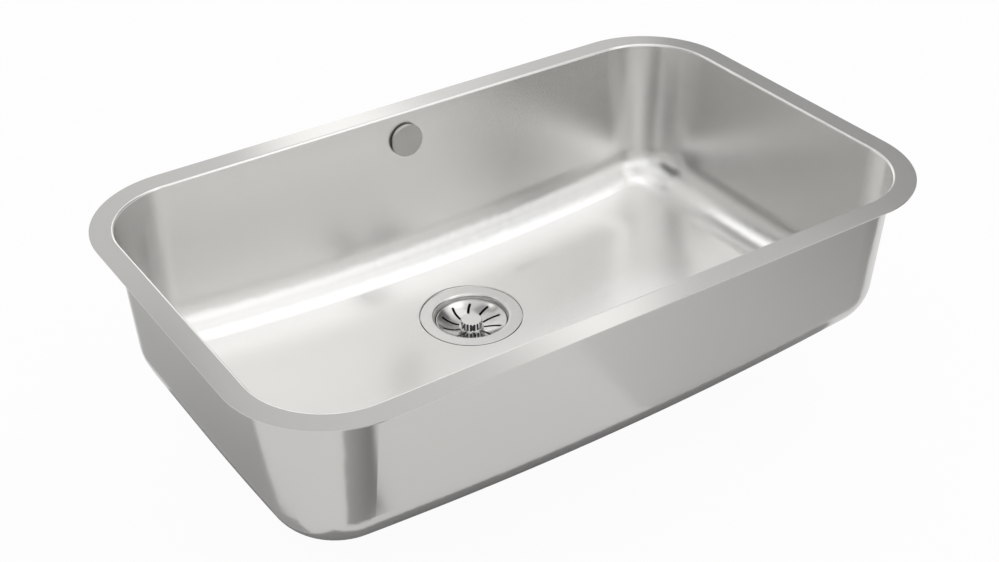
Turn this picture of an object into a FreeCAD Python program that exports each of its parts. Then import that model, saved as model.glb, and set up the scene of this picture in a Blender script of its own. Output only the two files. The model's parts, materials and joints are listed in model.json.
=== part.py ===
"""Undermount kitchen sink: pressed bowl, basket strainer waste and overflow set.

Millimetres, +Z up. The origin is the centre of the flange's top face, +X runs along the
long side and +Y points to the rear wall, which carries the overflow. The flange is held
under a worktop, and everything else hangs from it.
"""
import FreeCAD, Part
import math
import os

V = FreeCAD.Vector

# ---- Bowl: one pressed steel sheet --------------------------------------------------
flange_length = 776.0
flange_width = 480.0
flange_corner_r = 105.5
flange_end = 23.2            # flat width at the two short sides
flange_side = 24.6           # flat width at the two long sides
sheet = 1.0
rim_bend_r = 2.5             # bend from the flange into the wall, on the wet side
end_draft = 4.5              # degrees, short walls
side_draft = 5.0             # degrees, long walls
bowl_depth = 196.0           # flange top to the flat of the floor
bottom_corner_r = 60.0       # plan radius of the wall corners at that depth
floor_fillet_r = 47.5        # wall to floor, on the wet side
floor_long_r = 3280.0        # fall of the floor from both ends
floor_front_r = 1910.0       # fall from the front wall
floor_rear_r = 140.0         # short fall from the rear wall
flat_before_waste = 53.0     # flat of the floor, measured from the waste's centre
flat_behind_waste = 38.0

# ---- Damping pads -------------------------------------------------------------------
pad_thick = 2.0
pad_bond = 0.15              # adhesive between the floor and a pad
pad_length = 170.0
pad_end_inset = 26.5         # pad's edge to the end of the floor's flat part
pad_front_inset = 43.0       # the same at the front
pad_rear_inset = 38.0        # the same at the rear

# ---- Waste flange and cup: 3 1/2 inch basket strainer -------------------------------
waste_from_rear = 132.4      # rear edge of the opening to the waste's centre
waste_hole_r = 45.0
waste_flange_r = 56.5
waste_sheet = 1.2            # thickness of the waste flange and its cup
waste_edge_r = 0.4
recess_gap = 0.8             # shadow gap round the waste flange
recess_lip_r = 0.9           # rounding of the recess's edge
recess_clear = 5.0           # height above the flat that the recess is cut from
top_seal_thick = 1.5
under_seal_thick = 2.5
seal_inset = 0.5             # seals stay this far inside what they seal
cup_hole_gap = 1.0           # edge of the bowl's hole to the start of the cup's shoulder
cup_shoulder_r = 3.3
cup_foot_r = 32.0            # inside of the wall where it meets the foot's bend
cup_bend_r = 4.0
cup_depth = 33.0
drain_hole_r = 4.2
drain_hole_pitch_r = 16.0
drain_hole_count = 8

# ---- Basket and knob ----------------------------------------------------------------
basket_gap = 0.2             # rolled rim to the cup's wall
basket_drop = 5.5            # flange top to the basket's rim
basket_dish = 10.0           # depth of the dish
basket_sheet = 0.8
basket_bead = 1.3            # width and height of the rolled rim
basket_bead_round = 0.4
slot_count = 10
slot_width = 3.0
slot_from_knob = 1.8         # knob's foot to the start of a slot
slot_from_rim = 6.3          # end of a slot to the rolled rim's outside
slot_phase = -6.0            # degrees from +X to the first slot's start
slot_bow = 2.4               # degrees that a slot's middle leads its start
slot_sweep = -6.0            # degrees from a slot's start to its end
knob_r = 12.3
knob_height = 9.0
knob_edge_r = 0.7
knob_foot_reach = 1.1        # foot ring beyond the fluted skirt
knob_foot_height = 1.3
knob_foot_edge_r = 0.5
knob_flutes = 20
knob_flute_r = 1.3
knob_roof = 2.5              # solid above the hole for the spindle

# ---- Spindle, stopper and clamp screw -----------------------------------------------
spindle_r = 3.0
spindle_collar_r = 5.0
spindle_plate_thick = 1.2
spindle_reach = 10.0         # depth of the tip in the clamp screw
spindle_edge_r = 0.8
spindle_ring_height = 1.5
spindle_ring_depth = 0.8
spindle_ring_place = 3.0     # tip to the ring's groove
stud_gap = 1.0               # spindle's upper end to the roof of the knob's hole
plate_gap = 1.0              # clamp screw's head to the spindle's plate
stopper_edge_gap = 0.4       # edge of the cup's flat floor to the stopper's lip
stopper_lip = 3.6            # stopper outside the plate
stopper_lip_thick = 1.2
stopper_hold = 2.4           # stopper under the plate
stopper_wrap = 1.5           # stopper over the plate's edge
stopper_roof = 0.6
stopper_gap = 0.3            # stopper above the cup's floor at rest
screw_r = 5.0
screw_head_r = 8.0
screw_head_height = 4.0
screw_edge_r = 0.8
screw_slot = 2.0
screw_slot_depth = 1.4
screw_socket_floor = 3.0     # solid below the socket's end
screw_past_hub = 1.0

# ---- Waste body ---------------------------------------------------------------------
insert_wall = 2.0
insert_length = 13.0
hub_wall = 2.5
hub_gap = 3.0                # cup's underside to the hub
hub_web = 3.0
hub_web_count = 3
hub_web_drop = 3.0           # webs' upper edge below the hub's
body_wall = 3.0
body_flange_inset = 1.5      # edge of the waste flange to the body's flange
body_flange_thick = 4.0
body_below_hub = 8.0         # hub's top to the end of the straight shell
body_funnel_depth = 13.0
funnel_rise = 1.5            # inside of the funnel above its outside
body_rib_count = 12
body_rib = 2.0
body_rib_reach = 3.0
body_rib_start = 15.0        # degrees from +X to the first rib
outlet_r = 23.9              # outside of the 1 1/2 inch pipe thread
outlet_wall = 3.9
outlet_length = 21.0
outlet_collar = 4.0          # funnel's foot beyond the thread
outlet_collar_height = 3.0

# ---- Overflow -----------------------------------------------------------------------
overflow_z = -32.4
overflow_hole_r = 14.0
ring_lip = 3.0               # ring's flange beyond the hole
ring_flange_thick = 1.2
ring_edge_r = 0.5
ring_wall = 1.6
ring_barrel = 10.0           # length of the barrel behind the wet face
ring_web_count = 3
ring_web_thick = 3.0
ring_web = 2.6
ring_hub_wall = 2.4
cover_lip = 2.0              # disc beyond the ring's flange
cover_thick = 2.8
cover_standoff = 3.2         # back of the disc above the wall
cover_edge_r = 1.2
cover_leg_count = 3
cover_leg_turn = 30.0        # degrees from the level line to the first leg
cover_leg_width = 5.0
cover_leg_wall = 1.6
cover_leg_reach = 6.0        # legs' length below the wet face
bolt_r = 2.5
bolt_head_r = 4.4
bolt_head_height = 1.8
bolt_head_edge_r = 0.6
bolt_slot = 1.2
bolt_slot_depth = 0.9
bolt_tip_gap = 1.5           # screw's tip above the nut's low end
nut_wall = 1.7
nut_length = 9.0
nut_floor = 1.0              # post below the nut
post_wall = 1.5
wall_seal_thick = 2.0
elbow_room = 1.0             # hole's edge to the inside of the elbow
elbow_wall = 2.5
elbow_lip = 3.5              # elbow's flange beyond its cup
elbow_flange_thick = 2.5
elbow_front = 2.0            # elbow's mouth to the front of its spigot
elbow_neck = 20.0            # length of the spigot below the cup

# ---- Hose and its unions ------------------------------------------------------------
hose_bore_r = 8.0
hose_cuff_wall = 2.0
hose_root_wall = 1.2         # wall between two ribs
hose_rib_wall = 3.0          # wall at a rib's crest
hose_rib_pitch = 4.0
hose_insert = 10.0           # cuff inside the spigot
hose_cuff_length = 22.0      # plain end before the first rib
hose_cuff_blend = 0.5        # end of the cuff to the foot of its first rib
hose_lead = 10.0             # ribbed straight between the lower cuff and the bend
spigot_wall = 2.6
spigot_step = 0.5            # spigot's bore wider than the hose's
union_nut_wall = 2.9
union_nut_chamfer = 2.0
union_nut_grips = 8
union_grip_r = 1.3
union_grip_sink = 0.4        # centre of a grip inside the nut's outside
union_nut_back = 12.0        # nut over the spigot
union_nut_front = 6.0        # nut past the spigot's end
washer_height = 3.6
washer_edge = 1.0            # straight part of the washer's outside
washer_tip = 0.5             # width of the washer's small end
washer_gap = 0.4             # washer's cone to the nut's
side_spigot_drop = 20.8      # body's top to the axis of its side spigot
side_spigot_length = 24.0    # shell to the spigot's end

# ---- Fits and cutting ---------------------------------------------------------------
run_gap = 0.08               # radial play of a part that turns or slides
fit_gap = 0.1                # radial play of a fixed part in its hole
cuff_gap = 0.4               # hose cuff in its spigot
seat_gap = 0.05              # axial play between faces that turn on each other
past = 2.0                   # how far a cutter runs past the face that it opens
merge = 0.5                  # how far forms of one piece run into each other
same = 0.01                  # two places closer than this are one
block_top = 60.0             # height above the flange of the block that cuts the floor
wet_top = 20.0               # height above the flange of the form that cuts the bowl
smallest_bend_r = 0.3

# ---- Places that follow from the sizes ----------------------------------------------
opening_a = flange_length / 2 - flange_end
opening_b = flange_width / 2 - flange_side
opening_r = flange_corner_r - (flange_end + flange_side) / 2
floor_z = -bowl_depth
flat_x = opening_a - bowl_depth * math.tan(math.radians(end_draft)) - floor_fillet_r
flat_y = opening_b - bowl_depth * math.tan(math.radians(side_draft)) - floor_fillet_r

waste_y = opening_b - waste_from_rear
recess_r = waste_flange_r + recess_gap
recess_floor_z = floor_z - waste_sheet - top_seal_thick
cup_mouth_r = waste_hole_r - cup_hole_gap
cup_throat_r = cup_mouth_r - cup_shoulder_r
cup_throat_z = floor_z - cup_shoulder_r
cup_floor_z = floor_z - cup_depth
cup_flat_r = cup_foot_r - cup_bend_r

basket_rim_z = floor_z - basket_drop
basket_bead_z = basket_rim_z - basket_bead
basket_low_z = basket_rim_z - basket_dish
cup_taper = (cup_throat_r - cup_foot_r) / (cup_throat_z - cup_floor_z - cup_bend_r)
basket_r = cup_throat_r - (cup_throat_z - basket_bead_z) * cup_taper - basket_gap
dish_r = (basket_r ** 2 + basket_dish ** 2) / (2 * basket_dish)
knob_foot_r = knob_r + knob_foot_reach
slot_start_r = knob_foot_r + slot_from_knob
slot_end_r = basket_r - slot_from_rim

plate_z = cup_floor_z + screw_head_height + plate_gap
plate_top_z = plate_z + spindle_plate_thick
plate_r = cup_flat_r - stopper_edge_gap - stopper_lip
spindle_tip_z = cup_floor_z + screw_head_height - spindle_reach
spindle_ring_z = spindle_tip_z + spindle_ring_place

hub_top_z = cup_floor_z - waste_sheet - hub_gap
hub_low_z = hub_top_z - insert_length
body_r = waste_hole_r + body_wall
body_flange_r = waste_flange_r - body_flange_inset
body_top_z = recess_floor_z - sheet - under_seal_thick
body_flange_z = body_top_z - body_flange_thick
body_shell_z = hub_top_z - body_below_hub
outlet_bore_r = outlet_r - outlet_wall
outlet_top_z = body_shell_z - body_funnel_depth
outlet_end_z = outlet_top_z - outlet_length

hose_cuff_r = hose_bore_r + hose_cuff_wall
hose_root_r = hose_bore_r + hose_root_wall
hose_rib_r = hose_bore_r + hose_rib_wall
socket_r = hose_cuff_r + cuff_gap
spigot_r = socket_r + spigot_wall
spigot_bore_r = hose_bore_r + spigot_step

overflow_y = opening_b + overflow_z * math.tan(math.radians(side_draft))
overflow_place = FreeCAD.Placement(
    V(0, overflow_y, overflow_z), FreeCAD.Rotation(V(1, 0, 0), 90 - side_draft))
ring_flange_r = overflow_hole_r + ring_lip
ring_barrel_r = overflow_hole_r - fit_gap
ring_bore_r = ring_barrel_r - ring_wall
cover_r = ring_flange_r + cover_lip
elbow_mouth = -sheet - wall_seal_thick
elbow_back = elbow_mouth - elbow_front - 2 * spigot_r
elbow_bore_r = overflow_hole_r + elbow_room
elbow_r = elbow_bore_r + elbow_wall
elbow_flange_r = elbow_r + elbow_lip
bolt_seat = -ring_barrel + ring_web_thick
nut_low = elbow_back + elbow_wall + nut_floor
nut_r = bolt_r + nut_wall

hose_y = overflow_y - (elbow_back + spigot_r) * math.cos(math.radians(side_draft))
top_spigot_z = overflow_z - elbow_r - elbow_neck
side_spigot_z = body_top_z - side_spigot_drop
side_spigot_y = waste_y + body_r + side_spigot_length
hose_top_z = top_spigot_z + hose_insert
hose_mouth_y = side_spigot_y - hose_insert
hose_bend_r = hose_y - hose_mouth_y - hose_cuff_length - hose_lead
hose_drop = hose_top_z - side_spigot_z - hose_bend_r
hose_turn = math.pi / 2 * hose_bend_r
hose_length = hose_drop + hose_turn + hose_lead + hose_cuff_length


# ---- Helpers ------------------------------------------------------------------------
def cylinder(radius, low, high, x=0.0, y=0.0):
    """Upright cylinder between two heights."""
    return Part.makeCylinder(radius, high - low, V(x, y, low))


def level_cylinder(radius, front, back, z):
    """Cylinder along +Y between two places."""
    return Part.makeCylinder(radius, back - front, V(0, front, z), V(0, 1, 0))


def ring(inner, outer, low, high, y=0.0):
    """Upright ring between two heights."""
    return cylinder(outer, low, high, y=y).cut(cylinder(inner, low - past, high + past, y=y))


def turned(edges, y=0.0):
    """Solid of revolution about the upright axis through (0, y) of a closed x-z outline."""
    solid = Part.Face(Part.Wire(edges)).revolve(V(0, 0, 0), V(0, 0, 1), 360)
    solid = Part.Solid(solid.Shells[0]) if solid.ShapeType != "Solid" else solid
    solid.translate(V(0, y, 0))
    return solid


def at(radius, height):
    """Point of a turned outline."""
    return V(radius, 0, height)


def lines(*points):
    """Straight edges through the points, in order."""
    return [Part.LineSegment(p, q).toShape() for p, q in zip(points, points[1:])]


def arc(start, middle, end):
    """Circular edge through three points."""
    return Part.Arc(start, middle, end).toShape()


def bend(start, corner, end):
    """Round edge from start to end, tangent at both to the equal lines to corner."""
    chord_middle = (start + end) * 0.5
    half = (end - start).Length / 2
    leg = (corner - start).Length
    rise = (corner - chord_middle).Length
    sagitta = half * (leg - half) / rise
    middle = chord_middle + (corner - chord_middle) * (sagitta / rise)
    return arc(start, middle, end)


def around(count, shape_at):
    """Shapes at even turns: shape_at takes the turn in degrees."""
    return [shape_at(360.0 * i / count) for i in range(count)]


def rotated(shape, degrees, y=0.0):
    """Copy of a shape turned about the upright axis through (0, y)."""
    copy = shape.copy()
    copy.rotate(V(0, y, 0), V(0, 0, 1), degrees)
    return copy


def rounded_top(shape, radius):
    """The shape with its highest edges rounded."""
    top = shape.BoundBox.ZMax
    return shape.makeFillet(radius, [e for e in shape.Edges if e.BoundBox.ZMin > top - same])


def edges_near(shape, targets):
    """Edges whose ends and middle all lie on every target shape."""
    found = []
    for edge in shape.Edges:
        first, last = edge.ParameterRange
        points = [edge.valueAt(first + (last - first) * share) for share in (0.02, 0.5, 0.98)]
        if all(Part.Vertex(p).distToShape(t)[0] < 2 * same for p in points for t in targets):
            found.append(edge)
    return found


# ---- Bowl ---------------------------------------------------------------------------
def rounded_rectangle(half_x, half_y, radius, z):
    """Closed wire centred on the upright axis."""
    cut = radius * (1 - math.sqrt(0.5))
    x0, y0 = half_x - radius, half_y - radius
    edges = []
    for sx, sy in ((1, 1), (-1, 1), (-1, -1), (1, -1)):
        on_end = V(sx * half_x, sy * y0, z)
        on_side = V(sx * x0, sy * half_y, z)
        middle = V(sx * (half_x - cut), sy * (half_y - cut), z)
        start, end = (on_end, on_side) if sx == sy else (on_side, on_end)
        if edges:
            edges += lines(edges[-1].lastVertex().Point, start)
        edges.append(arc(start, middle, end))
    return Part.Wire(edges + lines(edges[-1].lastVertex().Point, edges[0].firstVertex().Point))


def wall_section(depth, offset):
    """Outline of the tapered wall at a depth, moved outwards by offset."""
    end, side = math.radians(end_draft), math.radians(side_draft)
    half_x = opening_a - depth * math.tan(end) + offset / math.cos(end)
    half_y = opening_b - depth * math.tan(side) + offset / math.cos(side)
    radius = opening_r - depth * (opening_r - bottom_corner_r) / bowl_depth + offset
    return rounded_rectangle(half_x, half_y, radius, -depth)


def floor_block(offset, top=block_top):
    """Solid above the dished floor: an arc, a flat and an arc, swept round a long radius."""
    front_y, rear_y = waste_y - flat_before_waste, waste_y + flat_behind_waste
    low = floor_z - offset
    front_angle, rear_angle = 0.3, 0.7       # radians, past both walls

    def on_arc(centre_y, radius, angle):
        return V(0, centre_y + radius * math.sin(angle), low + radius * (1 - math.cos(angle)))

    front = floor_front_r + offset
    rear = floor_rear_r + offset
    front_arc = arc(on_arc(front_y, front, -front_angle), on_arc(front_y, front, -front_angle / 2),
                    V(0, front_y, low))
    rear_arc = arc(V(0, rear_y, low), on_arc(rear_y, rear, rear_angle / 2),
                   on_arc(rear_y, rear, rear_angle))
    flat = lines(V(0, front_y, low), V(0, rear_y, low))
    start, end = front_arc.firstVertex().Point, rear_arc.lastVertex().Point
    closing = lines(end, V(0, flange_width, end.z), V(0, flange_width, top),
                    V(0, start.y, top), start)
    face = Part.Face(Part.Wire([front_arc] + flat + [rear_arc] + closing))
    sweep = math.degrees(math.asin((flange_length / 2 + block_top) / floor_long_r))
    axis = V(0, 0, floor_z + floor_long_r)
    face.rotate(axis, V(0, 1, 0), -sweep)
    return face.revolve(axis, V(0, 1, 0), 2 * sweep)


def bowl_form(offset, above):
    """Filled form of the bowl, moved outwards by offset, with its floor edge rounded."""
    walls = Part.makeLoft([wall_section(-above, offset),
                           wall_section(bowl_depth + floor_fillet_r, offset)], True, True)
    floor = floor_block(offset)
    form = walls.common(floor)
    edges = edges_near(form, [walls.Shells[0], floor.Shells[0]])
    return form.makeFillet(floor_fillet_r + offset, edges)


def make_bowl():
    """Flange, bend, walls, floor, stamped waste recess and overflow hole in one sheet."""
    outline = rounded_rectangle(flange_length / 2, flange_width / 2, flange_corner_r, -sheet)
    flange = Part.Face(outline).extrude(V(0, 0, sheet))
    cleared = floor_z + recess_clear
    boss = cylinder(recess_r + sheet, recess_floor_z - sheet, cleared, y=waste_y)
    metal = bowl_form(sheet, 0.0).fuse([flange, boss]).cut(bowl_form(0.0, wet_top))
    lip_low = at(recess_r, floor_z - recess_lip_r)
    lip_end = at(recess_r + recess_lip_r, floor_z)
    recess = turned(lines(at(0, cleared), at(0, recess_floor_z), at(recess_r, recess_floor_z),
                          lip_low)
                    + [bend(lip_low, at(recess_r, floor_z), lip_end)]
                    + lines(lip_end, at(lip_end.x, cleared), at(0, cleared)), y=waste_y)
    drain = cylinder(waste_hole_r, recess_floor_z - sheet - past, cleared, y=waste_y)
    hole = placed(cylinder(overflow_hole_r, -sheet - past, past))
    metal = metal.cut(recess).cut(drain).cut(hole)
    metal = metal.makeFillet(rim_bend_r, edges_near(metal, [wall_section(0, 0)]))
    return metal.makeFillet(max(rim_bend_r - sheet, smallest_bend_r),
                            edges_near(metal, [wall_section(sheet, sheet)]))


def make_sound_pads():
    """Two bonded pads that follow the underside of the floor."""
    upper = sheet + pad_bond
    layer = floor_block(upper + pad_thick, top=-bowl_depth / 2).cut(floor_block(upper))
    outer_x = flat_x - pad_end_inset
    front_y = pad_front_inset - flat_y
    width = flat_y - pad_rear_inset - front_y
    pads = []
    for x0 in (-outer_x, outer_x - pad_length):
        prism = Part.makeBox(pad_length, width, bowl_depth, V(x0, front_y, 1.5 * floor_z))
        pads += layer.common(prism).Solids
    return Part.makeCompound(pads)


# ---- Waste --------------------------------------------------------------------------
def make_waste_flange():
    """Flat ring that turns down into the strainer cup, with a pierced cup floor."""
    t, low, under = waste_sheet, cup_floor_z, floor_z - waste_sheet
    outer_throat, outer_foot = cup_throat_r + t, cup_foot_r + t
    foot_z = low + cup_bend_r
    edges = (lines(at(waste_flange_r, floor_z), at(cup_mouth_r, floor_z))
             + [bend(at(cup_mouth_r, floor_z), at(cup_throat_r, floor_z),
                     at(cup_throat_r, cup_throat_z))]
             + lines(at(cup_throat_r, cup_throat_z), at(cup_foot_r, foot_z))
             + [bend(at(cup_foot_r, foot_z), at(cup_foot_r, low), at(cup_flat_r, low))]
             + lines(at(cup_flat_r, low), at(0, low), at(0, low - t), at(cup_flat_r, low - t))
             + [bend(at(cup_flat_r, low - t), at(outer_foot, low - t), at(outer_foot, foot_z))]
             + lines(at(outer_foot, foot_z), at(outer_throat, cup_throat_z))
             + [bend(at(outer_throat, cup_throat_z), at(outer_throat, under),
                     at(cup_mouth_r, under))]
             + lines(at(cup_mouth_r, under), at(waste_flange_r, under),
                     at(waste_flange_r, floor_z)))
    cup = turned(edges, y=waste_y)
    rim = [e for e in cup.Edges if abs(e.BoundBox.XLength / 2 - waste_flange_r) < same
           and e.BoundBox.ZMin > floor_z - same]
    cup = cup.makeFillet(waste_edge_r, rim)
    hole = cylinder(drain_hole_r, low - t - past, low + past, x=drain_hole_pitch_r, y=waste_y)
    cup = cup.cut(around(drain_hole_count, lambda turn: rotated(hole, turn, waste_y)))
    return cup.cut(cylinder(screw_r + fit_gap, low - t - past, low + past, y=waste_y))


def make_waste_top_seal():
    """Rubber ring in the recess, under the waste flange."""
    return ring(waste_hole_r + seal_inset, waste_flange_r - seal_inset, recess_floor_z,
                recess_floor_z + top_seal_thick, y=waste_y)


def make_waste_under_seal():
    """Rubber ring between the recess and the waste body."""
    return ring(waste_hole_r + seal_inset, body_flange_r - seal_inset, body_top_z,
                body_top_z + under_seal_thick, y=waste_y)


def dish_z(radius, drop=0.0):
    """Height of the dish at a radius, lowered by drop along the sphere's radius."""
    sphere = dish_r + drop
    return basket_low_z + dish_r - math.sqrt(sphere ** 2 - radius ** 2)


def on_dish(radius, drop=0.0):
    """Point of the dish's outline."""
    return at(radius, dish_z(radius, drop))


def dish_arc(start, end, drop=0.0):
    """Arc of the dish between two radii."""
    return arc(on_dish(start, drop), on_dish((start + end) / 2, drop), on_dish(end, drop))


def swirl_slot(turn):
    """Upright cutter of one bent slot with round ends."""
    low = basket_low_z - basket_sheet - past

    def place(radius, degrees):
        angle = math.radians(turn + slot_phase + degrees)
        return V(radius * math.cos(angle), waste_y + radius * math.sin(angle), low)

    start = place(slot_start_r, 0)
    middle = place((slot_start_r + slot_end_r) / 2, slot_bow + slot_sweep / 2)
    end = place(slot_end_r, slot_sweep)
    centre = arc(start, middle, end).Curve.Center
    half = slot_width / 2

    def moved(point, shift):
        return point + (point - centre).normalize() * shift

    def cap(point, heading):
        return point + (point - heading).normalize() * half

    edges = [arc(moved(start, half), moved(middle, half), moved(end, half)),
             arc(moved(end, half), cap(end, middle), moved(end, -half)),
             arc(moved(end, -half), moved(middle, -half), moved(start, -half)),
             arc(moved(start, -half), cap(start, middle), moved(start, half))]
    return Part.Face(Part.Wire(edges)).extrude(V(0, 0, basket_rim_z + past - low))


def make_basket():
    """Dished strainer with a rolled rim, swirled slots and a hole for the spindle."""
    bore = spindle_r + run_gap
    bead_r = basket_r - basket_bead
    under_r = bead_r - basket_bead_round
    top, r = basket_rim_z, basket_bead_round
    edges = ([dish_arc(bore, bead_r)] + lines(on_dish(bead_r), at(bead_r, top - r))
             + [bend(at(bead_r, top - r), at(bead_r, top), at(bead_r + r, top))]
             + lines(at(bead_r + r, top), at(basket_r - r, top))
             + [bend(at(basket_r - r, top), at(basket_r, top), at(basket_r, top - r))]
             + lines(at(basket_r, top - r), at(basket_r, basket_bead_z),
                     on_dish(under_r, basket_sheet))
             + [dish_arc(under_r, bore, basket_sheet)]
             + lines(on_dish(bore, basket_sheet), on_dish(bore)))
    return turned(edges, y=waste_y).cut(around(slot_count, swirl_slot))


def make_basket_knob():
    """Fluted lift knob that stands on the dish."""
    foot_z = dish_z(knob_foot_r)
    foot_top = foot_z + knob_foot_height
    top_z = foot_z + knob_height
    knob = rounded_top(cylinder(knob_r, foot_z, top_z, y=waste_y), knob_edge_r)
    flute = cylinder(knob_flute_r, foot_top, top_z + past, x=knob_r, y=waste_y)
    knob = knob.cut(around(knob_flutes, lambda turn: rotated(flute, turn, waste_y)))
    foot = rounded_top(cylinder(knob_foot_r, foot_z, foot_top, y=waste_y), knob_foot_edge_r)
    boss = cylinder(spindle_collar_r, dish_z(spindle_collar_r), foot_top, y=waste_y)
    stud_hole = cylinder(spindle_r + run_gap, foot_z - knob_height, top_z - knob_roof, y=waste_y)
    return knob.fuse([foot, boss]).removeSplitter().cut(stud_hole)


def make_basket_spindle():
    """Turned pin: stud in the knob, collar under the dish, stopper plate and plug-in tip."""
    stud_top = dish_z(knob_foot_r) + knob_height - knob_roof - stud_gap
    collar_top = basket_low_z - basket_sheet - seat_gap
    pin = cylinder(spindle_r, spindle_tip_z, stud_top, y=waste_y)
    pin = pin.fuse([cylinder(spindle_collar_r, plate_z, collar_top, y=waste_y),
                    cylinder(plate_r, plate_z, plate_top_z, y=waste_y)])
    groove = ring(spindle_r - spindle_ring_depth, spindle_r + past, spindle_ring_z,
                  spindle_ring_z + spindle_ring_height, y=waste_y)
    pin = pin.removeSplitter().cut(groove)
    tip_edge = [e for e in pin.Edges if e.BoundBox.ZMax < spindle_tip_z + same]
    return pin.makeFillet(spindle_edge_r, tip_edge)


def make_spindle_ring():
    """Rubber snap ring in the groove of the spindle's tip."""
    return ring(spindle_r - spindle_ring_depth, spindle_r, spindle_ring_z,
                spindle_ring_z + spindle_ring_height, y=waste_y)


def make_basket_seal():
    """Stopper ring round the spindle's plate, which closes the cup's floor."""
    seat = cup_floor_z + stopper_gap
    inner_r, lip_r = plate_r - stopper_hold, plate_r + stopper_lip
    wrap_r, roof = plate_r - stopper_wrap, plate_top_z + stopper_roof
    return turned(lines(at(inner_r, seat), at(lip_r, seat), at(lip_r, seat + stopper_lip_thick),
                        at(plate_r + stopper_lip_thick, roof), at(wrap_r, roof),
                        at(wrap_r, plate_top_z), at(plate_r, plate_top_z), at(plate_r, plate_z),
                        at(inner_r, plate_z), at(inner_r, seat)), y=waste_y)


def make_clamp_screw():
    """Hollow-headed screw that draws the cup and the waste body together."""
    head_top = cup_floor_z + screw_head_height
    tip = hub_low_z - screw_past_hub
    head = rounded_top(cylinder(screw_head_r, cup_floor_z, head_top, y=waste_y), screw_edge_r)
    screw = head.fuse(cylinder(screw_r, tip, cup_floor_z + merge, y=waste_y))
    socket = cylinder(spindle_r + run_gap, tip + screw_socket_floor, head_top + past, y=waste_y)
    across = screw_head_r + past
    slot = Part.makeBox(2 * across, screw_slot, screw_slot_depth + past,
                        V(-across, waste_y - screw_slot / 2, head_top - screw_slot_depth))
    return screw.removeSplitter().cut([socket, slot])


def make_screw_insert():
    """Brass threaded insert in the hub of the waste body."""
    return ring(screw_r + fit_gap / 2, screw_r + insert_wall, hub_low_z, hub_top_z, y=waste_y)


def make_waste_body():
    """Moulded cup with a webbed hub, an outlet thread and a side spigot for the overflow."""
    inner = body_r - body_wall
    over, below = body_top_z + past, outlet_end_z - past
    collar = at(outlet_r + outlet_collar, outlet_top_z + outlet_collar_height)
    solid = turned(lines(
        at(0, body_top_z), at(body_flange_r, body_top_z), at(body_flange_r, body_flange_z),
        at(body_r, body_flange_z), at(body_r, body_shell_z), collar, at(outlet_r, outlet_top_z),
        at(outlet_r, outlet_end_z), at(0, outlet_end_z), at(0, body_top_z)), y=waste_y)
    hollow = turned(lines(
        at(0, over), at(inner, over), at(inner, body_shell_z + funnel_rise),
        at(outlet_bore_r, collar.z + funnel_rise), at(outlet_bore_r, below), at(0, below),
        at(0, over)), y=waste_y)
    insert_r = screw_r + insert_wall
    hub = cylinder(insert_r + hub_wall, hub_low_z, hub_top_z, y=waste_y)
    web = Part.makeBox(body_r, hub_web, insert_length - hub_web_drop,
                       V(0, waste_y - hub_web / 2, hub_low_z))
    webs = [rotated(web, 90 + 360.0 * i / hub_web_count, waste_y).common(solid)
            for i in range(hub_web_count)]
    rib = Part.makeBox(merge + body_rib_reach, body_rib, body_flange_z - body_shell_z,
                       V(body_r - merge, waste_y - body_rib / 2, body_shell_z))
    ribs = around(body_rib_count, lambda turn: rotated(rib, turn + body_rib_start, waste_y))
    spigot = level_cylinder(spigot_r, waste_y + body_r - body_wall / 2, side_spigot_y,
                            side_spigot_z)
    body = solid.cut(hollow).fuse(ribs + webs + [hub, spigot])
    bores = [level_cylinder(spigot_bore_r, waste_y + inner - past, side_spigot_y + past,
                            side_spigot_z),
             level_cylinder(socket_r, hose_mouth_y - seat_gap, side_spigot_y + past,
                            side_spigot_z),
             cylinder(insert_r, hub_low_z - past, hub_top_z + past, y=waste_y)]
    return body.cut(bores).removeSplitter()


# ---- Overflow: local +Z points off the wall into the bowl, 0 is the wet face ---------
def placed(shape):
    """Shape moved from the overflow's own axes to the rear wall."""
    shape = shape.copy()
    shape.Placement = overflow_place.multiply(shape.Placement)
    return shape


def make_overflow_ring():
    """Chromed ring: flange on the wall, barrel in the hole, webs and hub for the screw."""
    body = rounded_top(cylinder(ring_flange_r, 0, ring_flange_thick), ring_edge_r)
    body = body.fuse(cylinder(ring_barrel_r, -ring_barrel, merge))
    body = body.removeSplitter().cut(
        cylinder(ring_bore_r, -ring_barrel - past, ring_flange_thick + past))
    hub_r = bolt_r + fit_gap + ring_hub_wall
    web = Part.makeBox(ring_bore_r + merge, ring_web, ring_web_thick,
                       V(0, -ring_web / 2, -ring_barrel))
    webs = around(ring_web_count, lambda turn: rotated(web, turn + 90))
    body = body.fuse(webs + [cylinder(hub_r, -ring_barrel, bolt_seat)])
    hole = cylinder(bolt_r + fit_gap, -ring_barrel - past, bolt_seat + past)
    return placed(body.cut(hole).removeSplitter())


def make_overflow_cover():
    """Plain disc that stands off the wall on three legs inside the ring."""
    disc = cylinder(cover_r, cover_standoff, cover_standoff + cover_thick)
    disc = rounded_top(disc, cover_edge_r)
    leg_r = ring_bore_r - run_gap
    leg_top = cover_standoff + merge
    sleeve = ring(leg_r - cover_leg_wall, leg_r, -cover_leg_reach, leg_top)
    strip = Part.makeBox(leg_r + past, cover_leg_width, cover_leg_reach + leg_top,
                         V(0, -cover_leg_width / 2, -cover_leg_reach))
    legs = around(cover_leg_count,
                  lambda turn: sleeve.common(rotated(strip, turn + cover_leg_turn)))
    return placed(disc.fuse(legs).removeSplitter())


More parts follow.
